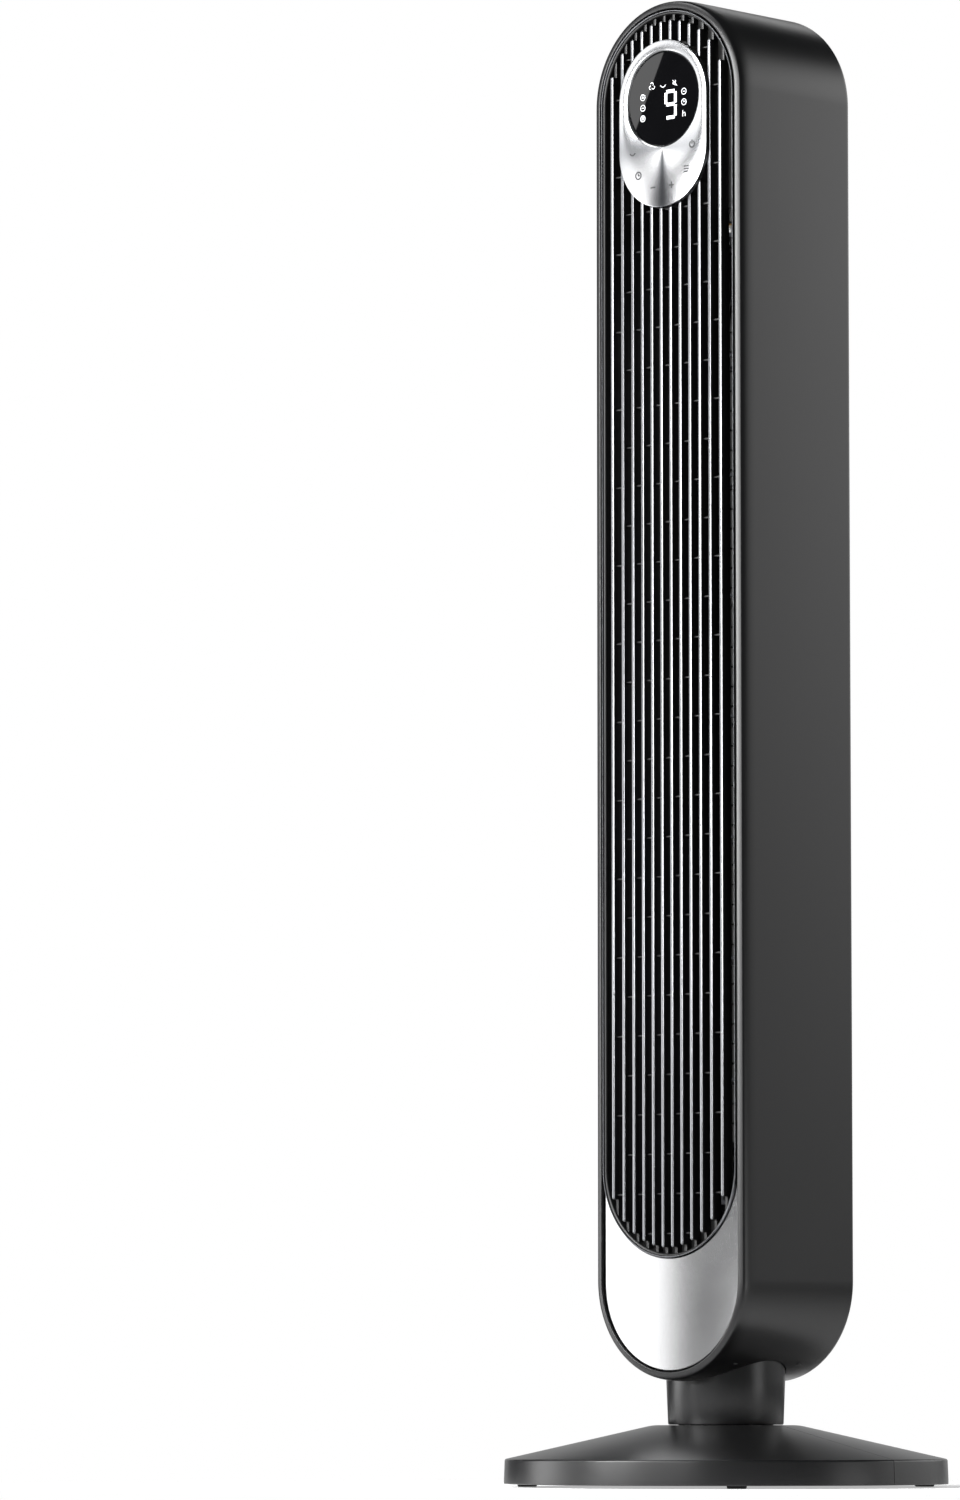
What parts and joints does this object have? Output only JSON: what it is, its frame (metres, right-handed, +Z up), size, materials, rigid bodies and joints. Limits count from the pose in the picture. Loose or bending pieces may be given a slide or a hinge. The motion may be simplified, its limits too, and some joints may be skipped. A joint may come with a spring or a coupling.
{
  "type": "tower fan",
  "caption": "Oscillating tower fan: rounded upright head with slatted outlet, silver touch panel and round display, on a short neck and a round conical base.",
  "frame": {"origin": "middle of the round base, on the floor under the four feet", "axes": "+Z up along the swivel axis, the outlet grille faces -Y, +X is to the right of someone who looks at the front"},
  "size_m": [0.3184, 0.318, 1.067],
  "materials": {
    "satin_black_abs": "satin black injection-moulded ABS",
    "moulded_black_abs": "fine-textured black ABS",
    "silver_painted_abs": "silver metallic paint on ABS, brushed look",
    "spun_aluminium": "circular-brushed aluminium with a bright bevel",
    "smoked_acrylic": "polished smoked acrylic over a lit display",
    "milky_polycarbonate": "milky diffusing polycarbonate",
    "circuit_board": "green solder mask",
    "grey_polypropylene": "dark grey polypropylene",
    "galvanised_sheet": "galvanised pressed sheet",
    "zinc_plated_steel": "zinc-plated steel",
    "ground_steel": "ground steel rod",
    "sintered_bronze": "oil-filled sintered bronze",
    "black_rubber": "black rubber",
    "white_acetal": "natural white acetal",
    "black_pvc": "black PVC"
  },
  "bodies": {
    "base": {"base_front_half": "satin_black_abs", "base_rear_half": "satin_black_abs", "rubber_foot_1": "black_rubber", "rubber_foot_2": "black_rubber", "rubber_foot_3": "black_rubber", "rubber_foot_4": "black_rubber", "base_nut": "grey_polypropylene", "cord_gland": "black_pvc", "neck_column": "satin_black_abs", "glide_ring": "white_acetal", "fixed_gear": "white_acetal", "pivot_circlip": "zinc_plated_steel"},
    "head": {"housing_shell": "satin_black_abs", "front_grille": "moulded_black_abs", "lower_fascia": "silver_painted_abs", "control_panel": "spun_aluminium", "display_window": "smoked_acrylic", "panel_pod": "moulded_black_abs", "light_guide": "milky_polycarbonate", "display_board": "circuit_board", "touch_sensor_film": "black_pvc", "rear_cover": "moulded_black_abs", "intake_frame": "moulded_black_abs", "rear_grille": "moulded_black_abs", "rear_grille_screw": "zinc_plated_steel", "rear_cover_screw_1": "zinc_plated_steel", "rear_cover_screw_2": "zinc_plated_steel", "rear_cover_screw_3": "zinc_plated_steel", "rear_cover_screw_4": "zinc_plated_steel", "lower_bulkhead": "moulded_black_abs", "upper_bulkhead": "moulded_black_abs", "upper_baffle": "moulded_black_abs", "duct_volute": "moulded_black_abs", "duct_tongue": "moulded_black_abs", "top_bearing_bush": "sintered_bronze", "bearing_rubber": "black_rubber", "impeller_motor": "galvanised_sheet", "motor_rubber_ring": "black_rubber", "motor_strap": "galvanised_sheet", "motor_strap_screw_1": "zinc_plated_steel", "motor_strap_screw_2": "zinc_plated_steel", "main_board": "circuit_board", "display_loom": "black_pvc", "swivel_turntable": "grey_polypropylene", "turntable_screw_1": "zinc_plated_steel", "turntable_screw_2": "zinc_plated_steel", "turntable_screw_3": "zinc_plated_steel", "turntable_screw_4": "zinc_plated_steel", "swing_bracket": "galvanised_sheet", "swing_motor": "galvanised_sheet"},
    "impeller": {"impeller": "grey_polypropylene", "impeller_hub": "black_rubber", "motor_shaft": "ground_steel", "impeller_top_pin": "ground_steel"},
    "pinion": {"swing_pinion": "white_acetal", "swing_motor_shaft": "ground_steel"}
  },
  "joints": [
    {"name": "head_swivel", "type": "hinge", "parent": "base", "child": "head", "pos_m": [0, 0, 0.0956], "axis": [0, 0, 1], "range_deg": [-45, 45]},
    {"name": "impeller_spin", "type": "hinge", "parent": "head", "child": "impeller", "pos_m": [0, 0.01, 0.2005], "axis": [0, 0, 1], "continuous": true},
    {"name": "pinion_spin", "type": "hinge", "parent": "head", "child": "pinion", "pos_m": [0, 0.02625, 0.0999], "axis": [0, 0, 1], "range_deg": [-113, 113]}
  ],
  "couplings": [
    {"joint": "pinion_spin", "follows": "head_swivel", "ratio": 2.5}
  ]
}
